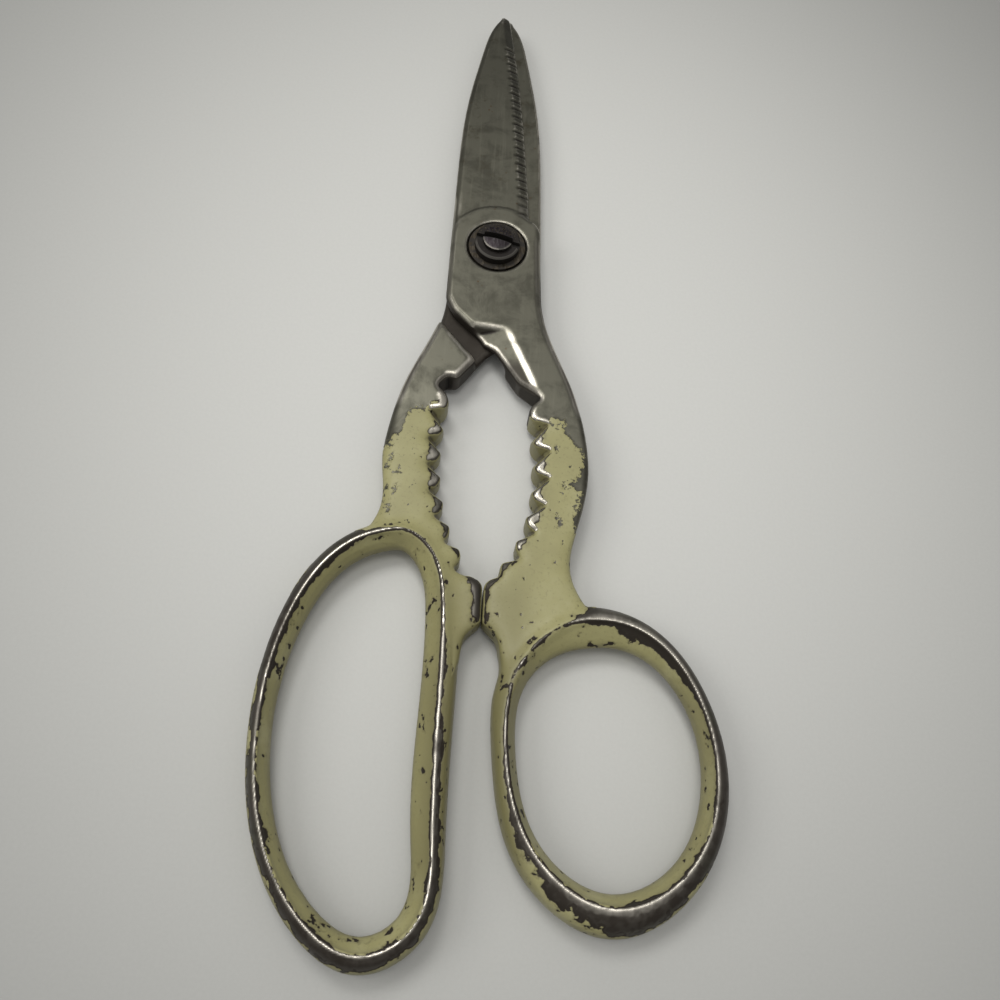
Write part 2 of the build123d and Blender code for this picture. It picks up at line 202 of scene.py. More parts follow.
# Worn places of each half, seen from the front, in mm.
FINGER_WEAR = {
    # Where the enamel is rubbed or was never laid: the blade, and an edge of the shank.
    "bare": (
        (-4.0, -35.5), (-9.6, -37.9), (-12.2, -39.5), (-15.9, -40.7), (-16.3, -43.6),
        (-17.6, -45.4), (-18.4, -46.9), (-19.6, -48.4), (-30.0, -48.4), (-30.0, 80.0),
        (30.0, 80.0), (30.0, -35.5),
    ),
    # The line through the tips of the teeth and down the stop, then how deep it is worn there.
    "tips": (
        (-7.7, -37.4, 2.4), (-8.7, -42.9, 1.5), (-9.9, -47.7, 1.3), (-9.4, -53.4, 1.2),
        (-8.3, -58.9, 1.1), (-6.6, -64.3, 0.9), (-4.0, -68.6, 0.9), (-1.6, -72.6, 1.1),
        (-0.6, -75.0, 1.1), (-0.6, -81.5, 0.8),
    ),
    # The bow's opening: ends of its middle line, then its centre, half width and half length.
    "low": (-17.5, -117.0),
    "high": (-18.5, -84.0),
    "centre": (-19.0, -100.0),
    "reach": (16.0, 34.0),
    # Angle round the bow, then how steep the flank is where the enamel starts outside (90 is
    # the crest, 0 faces out), how deep it is bare inside in mm, how broken the enamel's edge
    # is, how wide the polish on the crest is and how dark the bare flank is.
    "rubbed": (
        (0, 60, 0.15, 0.6, 22, 0.6), (20, 64, 0.15, 0.5, 16, 0.6),
        (40, 76, 0.10, 0.3, 10, 0.5), (60, 80, 0.05, 0.3, 9, 0.5), (84, 74, 0.2, 0.4, 9, 0.5),
        (97, 20, 0.6, 0.7, 10, 0.5), (110, -20, 0.9, 1.0, 10, 0.45),
        (125, -20, 1.0, 1.1, 10, 0.45), (137, 28, 0.7, 1.3, 10, 0.5),
        (150, -10, 0.3, 0.8, 10, 0.7), (163, -5, 0.25, 1.0, 10, 0.75),
        (175, 22, 0.2, 1.5, 9, 0.6), (190, 18, 0.3, 1.9, 9, 0.45),
        (205, 20, 0.35, 1.8, 10, 0.5), (218, 22, 0.35, 1.2, 11, 0.9),
        (230, 16, 0.25, 1.1, 14, 1.0), (250, 16, 0.15, 1.2, 16, 1.0),
        (270, 20, 0.1, 1.2, 17, 1.0), (290, 20, 0.1, 1.2, 17, 1.0),
        (305, 26, 0.1, 1.0, 18, 1.0), (320, 36, 0.1, 0.8, 20, 0.9),
        (340, 52, 0.15, 0.7, 22, 0.7),
    ),
    # Where the bow leaves the shank, as angles round it.
    "root": (22, 97),
    # Single flecks that the enamel has lost: centre and size.
    "flecks": (
        (-18.4, -48.0, 0.3), (-18.0, -50.5, 0.45), (-16.5, -53.3, 0.25), (-18.4, -56.7, 0.3),
        (-16.9, -57.0, 0.3), (-17.7, -61.1, 0.4), (-18.6, -52.6, 0.15), (-4.2, -83.0, 0.15),
        (-1.4, -81.5, 0.25),
    ),
    # Sharp inward corners that the forging runs through in a curve: centre and reach.
    "corners": (),
}
THUMB_WEAR = {
    "bare": (
        (5.0, -39.0), (8.0, -40.2), (10.0, -42.2), (11.5, -41.6), (14.2, -39.7), (15.0, -41.8),
        (16.2, -43.9), (17.4, -45.9), (18.6, -48.4), (18.9, -49.6), (17.5, -52.0),
        (15.9, -53.6), (17.8, -55.1), (17.4, -58.0), (17.4, -60.9), (17.2, -62.6),
        (17.8, -65.0), (30.0, -65.0), (30.0, 80.0), (-30.0, 80.0), (-30.0, -39.0),
    ),
    "tips": (
        (7.9, -38.6, 1.6), (9.1, -44.3, 1.5), (9.9, -49.7, 1.4), (9.4, -55.7, 1.3),
        (9.1, -60.9, 1.2), (6.9, -66.0, 1.1), (4.0, -70.3, 1.0), (2.6, -73.2, 0.9),
        (0.4, -75.6, 1.1), (0.4, -81.5, 0.8),
    ),
    "low": (26.5, -112.0),
    "high": (22.0, -98.0),
    "centre": (25.0, -104.0),
    "reach": (20.0, 24.0),
    "rubbed": (
        (0, -15, 0.15, 0.5, 11, 0.6), (25, -15, 0.3, 0.6, 12, 0.45),
        (40, -15, 0.9, 0.8, 14, 0.35), (55, -15, 1.4, 0.9, 22, 0.15),
        (70, -15, 1.5, 1.0, 26, 0.1), (85, -15, 1.3, 1.0, 28, 0.1),
        (97, -10, 0.9, 0.9, 28, 0.1), (106, 20, 0.5, 0.9, 12, 0.4),
        (112, 80, 0.15, 0.6, 9, 0.4), (122, 85, -0.1, 0.6, 8, 0.4),
        (135, 87, -0.15, 0.8, 8, 0.4), (150, 84, 0.0, 0.5, 8, 0.5),
        (165, 74, 0.1, 0.5, 9, 0.6), (180, 66, 0.1, 0.6, 9, 0.7), (200, 58, 0.1, 0.7, 9, 0.9),
        (215, 50, 0.15, 0.9, 10, 1.0), (230, 48, 0.15, 1.1, 11, 1.0),
        (243, 48, 0.2, 1.2, 13, 1.0), (256, 44, 0.3, 1.3, 14, 1.0),
        (264, 30, 0.5, 1.3, 15, 1.0), (282, 26, 0.9, 1.2, 16, 1.0),
        (295, 30, 0.4, 1.2, 16, 1.0), (308, 40, 0.2, 1.2, 15, 1.0),
        (325, -6, 0.2, 0.9, 14, 0.9), (345, -15, 0.1, 0.6, 12, 0.75),
    ),
    "root": (108, 165),
    "flecks": (
        (13.2, -46.2, 0.3), (13.6, -60.4, 0.2), (14.2, -61.2, 0.25), (1.6, -80.0, 0.3),
        (2.6, -83.5, 0.15), (14.8, -54.2, 0.25), (10.6, -82.6, 0.15),
    ),
    "corners": ((4.2, -90.5, 4.5),),
}


class EnamelSettings(bpy.types.PropertyGroup):
    """The cream enamel on the handles."""

    colour: FloatVectorProperty(
        name="Enamel colour", description="Colour of the enamel on the faces",
        default=(0.315, 0.295, 0.138), subtype="COLOR", min=0, max=1,
    )
    # Painted shade: the enamel's colour on its steep sides and on the stems between the bows.
    shade_colour: FloatVectorProperty(
        name="Shaded colour", description="Colour where the enamel is thick or sheltered",
        default=(0.188, 0.172, 0.080), subtype="COLOR", min=0, max=1,
    )
    thickness: FloatProperty(
        name="Thickness", description="How far bare steel lies under the enamel",
        default=0.09 * MM, min=0, max=MM, unit="LENGTH",
    )


class SteelSettings(bpy.types.PropertyGroup):
    """The bare steel of the blades and worn handles."""

    blade_colour: FloatVectorProperty(
        name="Blade colour", description="Dull nickelled steel of the blades",
        default=(0.122, 0.118, 0.093), subtype="COLOR", min=0, max=1,
    )
    # Also a painted highlight on the blade's side walls.
    polished_colour: FloatVectorProperty(
        name="Polished colour", description="Steel that hands keep bright",
        default=(0.66, 0.62, 0.54), subtype="COLOR", min=0, max=1,
    )
    # Also where the mesh darkens the steel: dirt, and painted shade under the pivot and on the
    # facet.
    aged_colour: FloatVectorProperty(
        name="Aged colour", description="Brown steel beside the enamel's broken edge",
        default=(0.030, 0.024, 0.018), subtype="COLOR", min=0, max=1,
    )


class ForgingSettings(bpy.types.PropertyGroup):
    """How finely the two halves are worked."""

    grain: FloatProperty(
        name="Grain", description="Width of the faces that the halves are worked with",
        default=0.27 * MM, min=0.15 * MM, max=MM, unit="LENGTH",
    )


class StageSettings(bpy.types.PropertyGroup):
    """The table, the light and the camera."""

    floor_colour: FloatVectorProperty(
        name="Floor colour", description="Colour of the table top",
        default=(0.60, 0.60, 0.575), subtype="COLOR", min=0, max=1,
    )
    lamp_power: FloatProperty(
        name="Lamp power", description="Power that the soft lamps share",
        default=6.1, min=0, unit="POWER",
    )
    ceiling_strength: FloatProperty(
        name="Ceiling", description="Strength of the light from straight above",
        default=0.62, min=0,
    )
    wall_strength: FloatProperty(
        name="Walls", description="Strength of the light from the sides", default=0.17, min=0,
    )
    backdrop: FloatProperty(
        name="Backdrop", description="How pale the room behind the table looks",
        default=0.55, min=0,
    )


class Wire:
    """One socket of a finish. Sums and products of wires add the nodes that work them out."""

    def __init__(self, tree, socket=None):
        self.tree = tree
        self.socket = socket

    def node(self, kind, settings=None, inputs=None, out=0):
        """Adds any node: its settings first, then the values or links of its sockets."""
        made = self.tree.nodes.new(kind)
        for name, value in (settings or {}).items():
            setattr(made, name, value)
        for name, value in (inputs or {}).items():
            socket = next(s for s in made.inputs if s.identifier == name)
            if isinstance(value, Wire):
                self.tree.links.new(value.socket, socket)
            else:
                socket.default_value = value
        return Wire(self.tree, made.outputs[out])

    def maths(self, operation, *values):
        inputs = dict(zip(("Value", "Value_001", "Value_002"), values))
        return self.node("ShaderNodeMath", {"operation": operation}, inputs)

    def __add__(self, other):
        return self.maths("ADD", self, other)

    def __sub__(self, other):
        return self.maths("SUBTRACT", self, other)

    def __mul__(self, other):
        return self.maths("MULTIPLY", self, other)

    def __radd__(self, other):
        return self.maths("ADD", other, self)

    def __rsub__(self, other):
        return self.maths("SUBTRACT", other, self)

    def __rmul__(self, other):
        return self.maths("MULTIPLY", other, self)

    def __pow__(self, other):
        return self.maths("POWER", self, other)

    def least(self, other):
        return self.maths("MINIMUM", self, other)

    def size(self):
        return self.maths("ABSOLUTE", self)

    def ramp(self, low, high, start=0.0, end=1.0):
        """A soft step from start to end as the wire goes from low to high."""
        settings = {"interpolation_type": "SMOOTHSTEP"}
        inputs = {"Value": self, "From Min": low, "From Max": high, "To Min": start, "To Max": end}
        return self.node("ShaderNodeMapRange", settings, inputs)

    def over(self, span, start=0.0, end=1.0):
        """A soft step over a span that is given in mm."""
        return self.ramp(span[0] * MM, span[1] * MM, start, end)

    def between(self, first, second):
        """Colour first where the wire is 0 and second where it is 1."""
        a = (*first, 1.0) if isinstance(first, tuple) else first
        b = (*second, 1.0) if isinstance(second, tuple) else second
        inputs = {"Factor_Float": self, "A_Color": a, "B_Color": b}
        return self.node("ShaderNodeMix", {"data_type": "RGBA"}, inputs, out=2)

    def between_numbers(self, first, second):
        """Number first where the wire is 0 and second where it is 1."""
        inputs = {"Factor_Float": self, "A_Float": first, "B_Float": second}
        return self.node("ShaderNodeMix", {"data_type": "FLOAT"}, inputs)

    def darker(self, share):
        """The wire's colour with every part taken times a share."""
        inputs = {"Vector": self, "Scale": share}
        return self.node("ShaderNodeVectorMath", {"operation": "SCALE"}, inputs)

    def stretched(self, x, y, z):
        """A place scaled along each axis. Textures run long where the scale is small."""
        inputs = {"Vector": self, "Vector_001": (x, y, z)}
        return self.node("ShaderNodeVectorMath", {"operation": "MULTIPLY"}, inputs)

    def cloud(self, scale, detail=4.0, rough=0.55, warp=0.0):
        """Uneven patches, 0 to 1, where scale is how many lie along a metre."""
        inputs = {"Vector": self, "Scale": scale, "Detail": detail}
        inputs |= {"Roughness": rough, "Distortion": warp}
        return self.node("ShaderNodeTexNoise", None, inputs)

    def specks(self, scale):
        """Distance from scattered spots, where scale is how many lie along a metre."""
        return self.node("ShaderNodeTexVoronoi", None, {"Vector": self, "Scale": scale})

    def parts(self):
        """The wires of X, Y and Z."""
        made = self.node("ShaderNodeSeparateXYZ", None, {"Vector": self}).socket.node
        return [Wire(self.tree, s) for s in made.outputs]

    def field(self, name):
        """A measure that the mesh carries, such as how far a point is from the enamel's edge."""
        return self.node("ShaderNodeAttribute", {"attribute_name": name}, out=2)


def colour(value):
    """A setting's colour as plain numbers."""
    return tuple(value)


def toned(value, share):
    """A colour with every part taken times a share."""
    return tuple(part * share for part in value)


def new_finish(name):
    """A material with one shader, and the wires that a finish starts from."""
    material = bpy.data.materials.new(name)
    material.use_nodes = True
    tree = material.node_tree
    shader = tree.nodes["Principled BSDF"]
    start = Wire(tree)
    place = start.node("ShaderNodeTexCoord", out=3)
    return material, shader, start, place


def feed(shader, name, wire):
    """Links a wire to a socket of the shader."""
    shader.id_data.links.new(wire.socket, shader.inputs[name])


def cream_enamel(start, shift, place, enamel, edge, uncovered, aged):
    """The enamel's colour: patchy and speckled, painted shade on its steep sides and between the
    stems, dirt in its hollows, darker at its broken edge.
    """
    across, along = place.parts()[:2]
    patchy = shift.cloud(PATCHES, 5.0, 0.62)
    speckle = shift.cloud(SPECKLES, 2.0, 0.5)
    # Painted shade: the enamel's steep sides take the shade colour.
    cream = start.field("steep_side_shade").between(colour(enamel.colour), colour(enamel.shade_colour))
    cream = (patchy.ramp(0.42, 0.70) * 0.5).between(cream, CREAM_SHADE)
    cream = (patchy.ramp(0.50, 0.30) * 0.5).between(cream, CREAM_CHALK)
    # Painted shade on the stems between the bows, deepening towards the bows.
    stems = along.over(STEMS_HEAD) * along.over(STEMS_FOOT) * across.size().over(STEMS_REACH)
    shaded = stems * along.over(STEMS_DARKER, 0.55, 1.0)
    cream = shaded.between(cream, colour(enamel.shade_colour))
    cream = (speckle.ramp(0.55, 0.75) * 0.45).between(cream, CREAM_SPECKLE)
    caught = (start.field("hollow") * 1.3).least(1.0)
    caught = caught * shift.cloud(CAUGHT_DIRT, 3.0, 0.6).ramp(0.25, 0.55)
    cream = (caught * 0.9).between(cream, CREAM_DIRT)
    lip = edge.ramp(-0.30, -0.04) * (1.0 - uncovered) * aged
    return (lip * 0.45).between(cream, CREAM_LIP), patchy, speckle


def bare_metal(start, shift, place, steel, edge, uncovered, aged):
    """The steel's colour and gloss: stained on the blade, blued on the bows, bright where worn,
    painted shade towards the blade's tip, near black in hollows.
    """
    along = place.parts()[1]
    worn = start.field("worn")
    streak = shift.stretched(1.0, 0.06, 1.0).cloud(STREAKS, 4.0, 0.65)
    stain = shift.cloud(STAINS, 6.0, 0.66, 0.4)
    clean = colour(steel.blade_colour)
    dull = stain.ramp(0.42, 0.66).between(clean, toned(clean, 0.62))
    spotted = shift.cloud(SPOTS, 5.0, 0.7).ramp(0.52, 0.74) * along.over(STAINED_BLADE)
    dull = spotted.between(dull, STEEL_STAIN)
    brushed = streak.ramp(0.52, 0.72) * (0.10 + along.over(BRUSHED_BLADE) * 0.12)
    dull = brushed.between(dull, toned(clean, 1.7))
    blued = along.over(BLUED_STEEL) * shift.cloud(BLUEING).ramp(0.30, 0.55)
    dull = (blued * 0.7).between(dull, STEEL_BLUE)
    # Painted shade: the blade darker towards its tip.
    dull = dull.darker(along.over(BLADE_TIP_SHADE, 1.0, 0.72))
    rust = shift.specks(RUST_PITS).ramp(0.25, 0.05) * shift.cloud(RUST_PATCHES).ramp(0.56, 0.66)
    dull = (rust * 0.7).between(dull, STEEL_RUST)
    shine = worn * (0.62 + streak.ramp(0.40, 0.62) * 0.38)
    metal = shine.between(dull, colour(steel.polished_colour))
    # Brown steel beside the enamel's edge, and the dirt and painted shade that the mesh marks.
    beside = edge.ramp(0.42, 0.06) * uncovered * aged
    dark = (beside + start.field("dirt_and_shade")).least(1.0)
    metal = dark.between(metal, colour(steel.aged_colour))
    # The steel near black in its notches, corners and grooves.
    hollow_dark = (start.field("hollow") * 1.6).least(1.0)
    rough = 0.40 - worn * 0.20 + stain.ramp(0.4, 0.7) * 0.08 + dark * 0.16
    shiny = 1.0 - (hollow_dark + dark).least(1.0) * 0.55
    return hollow_dark.between(metal, STEEL_HOLLOW), shiny, rough, streak


def handle_finish(name, enamel, steel, seed):
    """Enamel over steel, rubbed through where the mesh says, and nickelled steel on the blade."""
    material, shader, start, place = new_finish(name)
    inputs = {"Vector": place, "Vector_001": (seed, 0, 0)}
    shift = place.node("ShaderNodeVectorMath", {"operation": "ADD"}, inputs)
    fine = shift.cloud(CHIPS, 4.0, 0.7)
    aged = start.field("aged")
    edge = start.field("bare") + (fine - 0.5) * (5.5 - (aged * 5.5).least(5.0))
    uncovered = edge.ramp(-0.04, 0.04)
    cream, patchy, speckle = cream_enamel(start, shift, place, enamel, edge, uncovered, aged)
    metal, shiny, rough, streak = bare_metal(start, shift, place, steel, edge, uncovered, aged)

    feed(shader, "Base Color", uncovered.between(cream, metal))
    feed(shader, "Metallic", uncovered * shiny)
    feed(shader, "Roughness", uncovered * rough + (1.0 - uncovered) * (0.34 + patchy * 0.16))
    shader.inputs["Specular IOR Level"].default_value = 0.35
    relief = (1.0 - uncovered) + patchy * 0.35 + speckle * 0.05 + streak * uncovered * 0.18
    inputs = {"Strength": 0.4, "Distance": 0.12 * MM, "Height": relief}
    feed(shader, "Normal", start.node("ShaderNodeBump", None, inputs))
    return material


def worked_copy(node, name, grain):
    """A closed, evenly faced copy of a packed half, drawn back on to its surface."""
    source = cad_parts[node]
    shell = bmesh.new()
    shell.from_mesh(source.data)
    bmesh.ops.remove_doubles(shell, verts=shell.verts, dist=1e-7)
    mesh = bpy.data.meshes.new(name)
    shell.to_mesh(mesh)
    shell.free()
    piece = bpy.data.objects.new(name, mesh)
    bpy.context.scene.collection.objects.link(piece)
    remesh = piece.modifiers.new("work", "REMESH")
    remesh.mode = "VOXEL"
    remesh.voxel_size = grain
    remesh.use_smooth_shade = True
    draw = piece.modifiers.new("draw", "SHRINKWRAP")
    draw.target = source
    draw.wrap_method = "NEAREST_SURFACEPOINT"
    graph = bpy.context.evaluated_depsgraph_get()
    worked = bpy.data.meshes.new_from_object(piece.evaluated_get(graph))
    piece.modifiers.clear()
    piece.data = worked
    worked.name = name
    bpy.data.meshes.remove(mesh)
    return piece


class Surface:
    """The points, normals and neighbours of a worked half, in mm."""

    def __init__(self, mesh):
        self.mesh = mesh
        count = len(mesh.vertices)
        self.points = np.empty(count * 3, np.float32)
        mesh.vertices.foreach_get("co", self.points)
        self.points = self.points.reshape(-1, 3).astype(float) / MM
        self.edges = np.empty(len(mesh.edges) * 2, np.int32)
        mesh.edges.foreach_get("vertices", self.edges)
        self.edges = self.edges.reshape(-1, 2)
        self.links = np.bincount(self.edges.ravel(), minlength=count)
        self.read_normals()

    def read_normals(self):
        normals = np.empty(len(self.points) * 3, np.float32)
        self.mesh.vertices.foreach_get("normal", normals)
        self.normals = normals.reshape(-1, 3).astype(float)

    def mean(self, values):
        """The mean over each point's neighbours."""
        first, second = self.edges.T
        if values.ndim == 1:
            total = np.bincount(first, values[second], len(values))
            total += np.bincount(second, values[first], len(values))
            return total / self.links
        return np.stack([self.mean(column) for column in values.T], 1)

    def blurred(self, values, rounds):
        """The values, evened out with their neighbours' that many times."""
        for _ in range(rounds):
            values = (values + self.mean(values)) / 2
        return values

    def turn(self):
        """How sharply the surface turns at each point, in 1 over mm: above 0 on a ridge."""
        first, second = self.edges.T
        way = self.points[second] - self.points[first]
        bend = self.normals[second] - self.normals[first]
        rate = (way * bend).sum(1) / np.maximum((way**2).sum(1), 1e-6)
        count = len(self.points)
        return (np.bincount(first, rate, count) + np.bincount(second, rate, count)) / self.links

    def write(self):
        """Moves the mesh's points to where the wear has put them."""
        self.mesh.vertices.foreach_set("co", (self.points * MM).astype(np.float32).ravel())
        self.mesh.update()

    def keep(self, name, values):
        """Stores a measure on the mesh, for the finish to read."""
        layer = self.mesh.attributes.new(name, "FLOAT", "POINT")
        layer.data.foreach_set("value", values.astype(np.float32))


def step(values, low, high):
    """A soft step from 0 to 1 as the values go from low to high, which may lie below low."""
    share = np.clip((values - low) / (high - low), 0, 1)
    return share * share * (3 - 2 * share)


def grain_noise(points, period, octaves, seed):
    """Repeatable noise, about -1 to 1, with patches of that period in mm."""
    offset = Vector((seed * 17.3, seed * 5.1, seed * 9.7))
    return np.array(
        [noise.fractal(Vector(p) + offset, 0.9, 2.0, octaves) for p in points / period]
    )


def inside_outline(flat, corners):
    """How far points lie inside a closed outline, in mm, and below 0 outside it."""
    corners = np.array(corners)
    far = np.full(len(flat), 1e9)
    inside = np.zeros(len(flat), bool)
    for first, second in zip(corners, np.roll(corners, -1, 0)):
        run = second - first
        share = np.clip(((flat - first) @ run) / (run @ run), 0, 1)
        far = np.minimum(far, np.linalg.norm(flat - first - share[:, None] * run, axis=1))
        crosses = (first[1] > flat[:, 1]) != (second[1] > flat[:, 1])
        rise = run[1] if run[1] else 1.0
        inside ^= crosses & (flat[:, 0] < first[0] + (flat[:, 1] - first[1]) / rise * run[0])
    return np.where(inside, far, -far)


def rubbed_band(surface, worn_places):
    """The band that hands rub bare on a bow: how far inside it points lie, and what it is like.

    The turn is an angle over the rim's section: 0 faces out, 90 is the crest, 180 faces in.
    """
    flat = surface.points[:, :2]
    low, high = np.array(worn_places["low"]), np.array(worn_places["high"])
    along = np.clip(((flat - low) @ (high - low)) / ((high - low) @ (high - low)), 0, 1)
    outward = flat - (low + along[:, None] * (high - low))
    outward /= np.maximum(np.linalg.norm(outward, axis=1), 1e-6)[:, None]
    facing = (surface.normals[:, :2] * outward).sum(1)
    turn = np.degrees(np.arctan2(np.abs(surface.normals[:, 2]), facing))
    centre, reach = np.array(worn_places["centre"]), np.array(worn_places["reach"])
    spread = (flat - centre) / reach
    around = np.degrees(np.arctan2(spread[:, 1], spread[:, 0])) % 360
    angles, *columns = np.array(worn_places["rubbed"], float).T
    columns = [np.interp(around, angles, column, period=360) for column in columns]
    start, deep, broken, width, dark = columns
    drop = THICKNESS / 2 - np.abs(surface.points[:, 2] - MIDDLE)
    inside = np.where(turn < CREST + 1, (turn - start) * RIM_DEGREE, deep + CREST_DROP - drop)
    low_root, high_root = worn_places["root"]
    rooted = step(around, low_root - ROOT_FADE, low_root)
    rooted *= step(around, high_root + ROOT_FADE, high_root)
    at_root = np.minimum(inside, (0.3 - drop) * 2.5 + (1 - rooted) * 3)
    near = np.hypot(*spread.T)
    inside = np.minimum(np.where(rooted > 0, at_root, inside), (1.5 - near) * 12)
    return {
        "inside": inside, "turn": turn, "near": near, "drop": drop, "rooted": rooted,
        "broken": broken, "width": width, "dark": dark,
    }


def soften(surface, share, rounds):
    """Rounds the surface where the share is above 0."""
    for _ in range(rounds):
        smooth = surface.mean(surface.points)
        surface.points += (smooth - surface.points) * (share * SOFTENING)[:, None]


class Jaw:
    """The toothed edge of a half: how far back the points lie, and where its teeth are."""

    def __init__(self, surface, worn_places):
        x, y = surface.points.T[:2]
        tips = np.array(worn_places["tips"])
        self.side = 1.0 if tips[0, 0] > 0 else -1.0
        self.line = np.interp(-y, -tips[:, 1], tips[:, 0])
        self.deep = np.interp(-y, -tips[:, 1], tips[:, 2])
        self.here = step(y, *JAW_FOOT) * step(y, *JAW_HEAD)
        self.toothed = self.here * step(self.behind(x), *TEETH_BACK)

    def behind(self, x):
        """How far points lie behind the line through the tips, in mm."""
        return (x - self.line) * self.side


def soften_forging(surface, worn_places, jaw):
    """Rounds the edges, the teeth and the bow's root. Returns the boss and its worn ridges."""
    x, y = surface.points.T[:2]
    turn = surface.blurred(surface.turn(), 2)
    sharp = step(np.abs(turn), 0.35, 1.2)
    boss = step(y, *BOSS_FOOT) * step(y, *BOSS_HEAD) * step(np.hypot(x, y), *RECESS_REACH)
    boss *= 1 - step(x, *CORNER_REACH) * step(y, *BOSS_CORNER)
    swell = np.maximum(turn, 0)
    ridges = step(surface.blurred(swell, 5), 0.10, 0.35)
    lap = step(surface.blurred(swell, 12), 0.03, 0.12)
    lap *= step(y, *LAP_RIDGE) * step(np.abs(x), *LAP_REACH)
    ridges = np.maximum(ridges, lap)
    soften(surface, sharp, EDGE_ROUNDS)
    soften(surface, sharp * jaw.toothed, TEETH_ROUNDS)
    soften(surface, ridges * boss, RIDGE_ROUNDS)
    band = rubbed_band(surface, worn_places)
    near, drop = band["near"], band["drop"]
    joined = band["rooted"] * step(near, 0.98, 1.06) * step(near, 1.9, 1.6)
    joined *= step(drop, 0.1, 0.5) * step(drop, 2.2, 1.8)
    soften(surface, surface.blurred(joined, 3), ROOT_ROUNDS)
    for corner_x, corner_y, reach in worn_places["corners"]:
        away = np.hypot(x - corner_x, y - corner_y)
        soften(surface, step(away, reach, reach * 0.4), CORNER_ROUNDS)
    surface.write()
    surface.read_normals()
    return boss, ridges


class Places:
    """What the wear of a softened half is worked out from, point by point."""

    def __init__(self, surface, worn_places, jaw, seed):
        self.surface = surface
        self.x, self.y, self.z = surface.points.T
        self.turn = surface.blurred(surface.turn(), 1)
        self.ridge = step(self.turn, 0.35, 1.1)
        self.upright = np.abs(surface.normals[:, 2])
        self.walls = step(self.upright, 0.62, 0.40)
        self.ragged = grain_noise(surface.points, RAGGED, 4, seed)
        self.broad = grain_noise(surface.points, BROAD, 3, seed + 3)
        self.band = rubbed_band(surface, worn_places)
        self.on_bow = step(self.band["near"], 1.5, 1.3) * step(self.y, *BOWS_HEAD)
        self.jaw = jaw
        self.behind = jaw.behind(self.x)

    def hollow(self):
        """Notches and corners: the enamel keeps dirt there, and the steel is darkened there."""
        wide = self.surface.blurred(self.turn, 6)
        return np.where(self.on_bow > 0.5, step(-wide, 0.35, 0.9), step(-wide, 0.10, 0.6))


def lower_edges(p):
    """The lower edge of each tooth on the front face, which the nuts rub bright."""
    leaning = step(-p.surface.normals[:, 1], 0.04, 0.2) * step(p.upright, 0.3, 0.5)
    edge = p.surface.blurred(np.maximum(p.turn, 0) * leaning * p.jaw.toothed, 5)
    edge = step(edge, 0.05, 0.22) * step(p.behind, *BRIGHT_EDGE_BACK)
    return edge * step(p.y, *LAST_BRIGHT_EDGE) * step(p.z, MIDDLE, MIDDLE + 1)


def bare_teeth(p, edges):
    """How far points lie inside the bare caps of the teeth, in mm."""
    jaw = p.jaw
    caps = ((jaw.deep - p.behind) * jaw.here - (1 - jaw.here) * 5) * 0.8
    caps += p.ragged * 0.35 + p.broad * 0.15
    rims = (p.ridge - 0.42) * 1.2 + (jaw.deep + 1.6 - p.behind) * 0.25 + p.ragged * 0.3
    rims = np.maximum(rims, (edges - 0.45) * 1.8 + p.ragged * 0.3)
    return np.maximum(caps, np.where(jaw.toothed > 0.5, rims, -2)) - p.walls * 2.2


def bare_steel(p, worn_places, teeth, seed):
    """How far points lie inside any bare place, in mm, and below 0 under the enamel."""
    band = p.band["inside"] + (p.ragged * 0.55 + p.broad * 0.65) * p.band["broken"]
    blade = inside_outline(p.surface.points[:, :2], worn_places["bare"])
    blade += p.ragged * 0.8 + p.broad * 0.9
    blade -= p.walls * p.jaw.toothed * step(p.y, *FIRST_NOTCH) * step(p.y, *LAST_NOTCH) * 9
    rounded = step(p.upright, 0.99, 0.90) * step(p.upright, 0.15, 0.35)
    chips = (rounded - 1) * 1.5 + p.ragged * 0.95 + p.broad * 0.5 - 0.62
    spots = grain_noise(p.surface.points, SPOTTED, 2, seed + 7)
    spots = (spots - 0.74) * 1.8 + p.broad * 0.35
    flecks = np.full(len(p.x), -2.0)
    for fleck_x, fleck_y, size in worn_places["flecks"]:
        away = np.hypot(p.x - fleck_x, (p.y - fleck_y) * 0.7)
        flecks = np.maximum(flecks, size - away + p.ragged * 0.45)
    flecks = np.minimum(flecks, (p.z - MIDDLE) * 0.5)
    return np.maximum.reduce([band, blade, teeth, chips, spots, flecks])


def polish(p, teeth, edges, boss, ridges):
    """Where hands, nuts and the other half keep the steel bright, 0 to 1, with painted highlights
    on the blade's side walls and the bows' crests.
    """
    facing, width = p.band["turn"], p.band["width"]
    crest = np.exp(-(((facing - CREST) / width) ** 2)) * p.on_bow
    # In places a dull line runs through the polished band, parting it into two painted highlight
    # lines.
    line = np.exp(-(((facing - CREST + width * 0.5) / (width * 0.17)) ** 2))
    crest *= 1 - 0.7 * line * step(p.broad, -0.5, 0.1)
    tipped = step(teeth, 0.0, 0.5) * (1 - p.on_bow) * step(p.y, *TEETH_FOOT)
    tipped *= 0.8 - 0.45 * step(p.y, *DULL_TEETH)
    rubbed = ridges * boss * (0.25 + 0.5 * step(p.y, *LAP_SHINE))
    # Painted highlight: the blade's steep side walls take polished steel, so they look lit.
    rubbed += p.walls * step(p.y, *BLADE_SIDES) * 0.4
    rims = p.ridge * np.where(p.on_bow > 0.5, 0.2, 0.85)
    worn = np.maximum.reduce([crest, rims, np.maximum(tipped, edges * 0.9), rubbed])
    return np.clip(worn * (1 - step(np.abs(p.broad), 0.45, 0.9) * 0.6), 0, 1)


